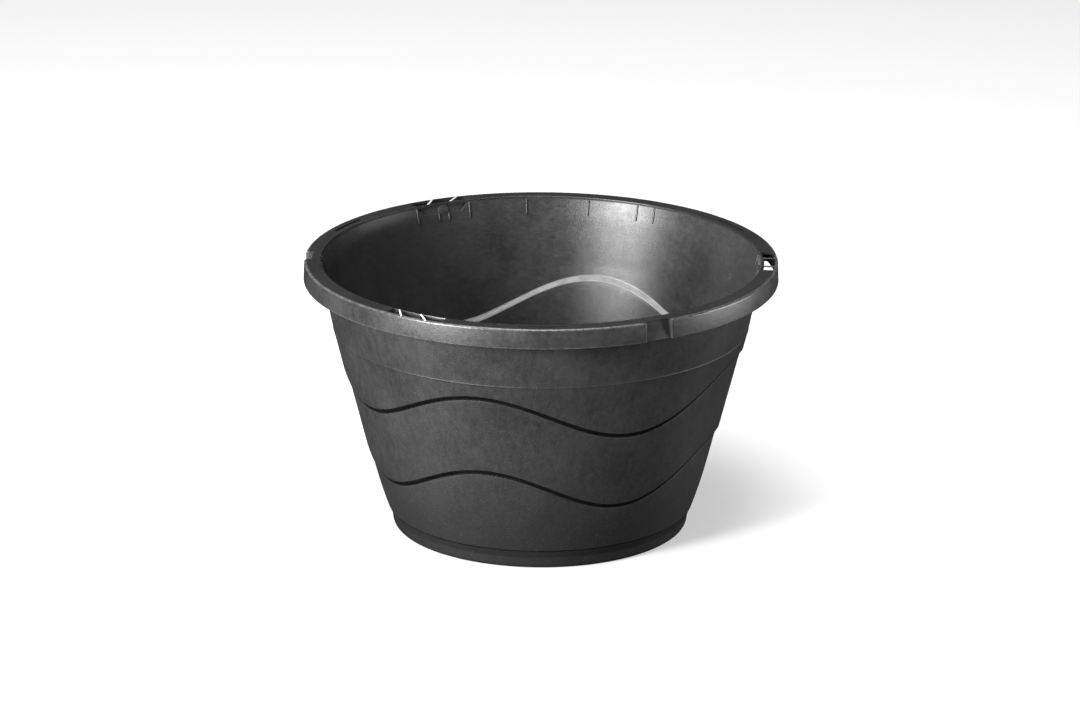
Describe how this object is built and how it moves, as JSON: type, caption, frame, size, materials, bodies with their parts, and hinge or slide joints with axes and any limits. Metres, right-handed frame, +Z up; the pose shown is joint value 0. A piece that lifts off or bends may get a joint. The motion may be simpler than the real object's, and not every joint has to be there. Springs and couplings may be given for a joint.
{
  "type": "mortar mixing tub",
  "caption": "Round tapered black plastic tub with a wide skirted rim, hook sockets in the rim, two wavy steps round the wall and a flat foot.",
  "frame": {"origin": "centre of the circle of contact under the foot", "axes": "+Z up along the tub's axis; -Y is the front, between the left front hook socket and the right front recess of the skirt"},
  "size_m": [0.4248, 0.4249, 0.247],
  "materials": {
    "tub_shell": "matte",
    "foot_band": "matte",
    "floor_plate": "matte",
    "rim_ring": "gloss",
    "rim_gussets": "gloss",
    "socket_bars": "gloss",
    "latch_tongues": "matte",
    "nesting_ribs": "matte"
  },
  "bodies": {
    "root": {"tub_shell": "tub_shell", "foot_band": "foot_band", "floor_plate": "floor_plate", "rim_ring": "rim_ring", "rim_gussets": "rim_gussets", "socket_bars": "socket_bars", "latch_tongues": "latch_tongues", "nesting_ribs": "nesting_ribs"}
  },
  "joints": []
}
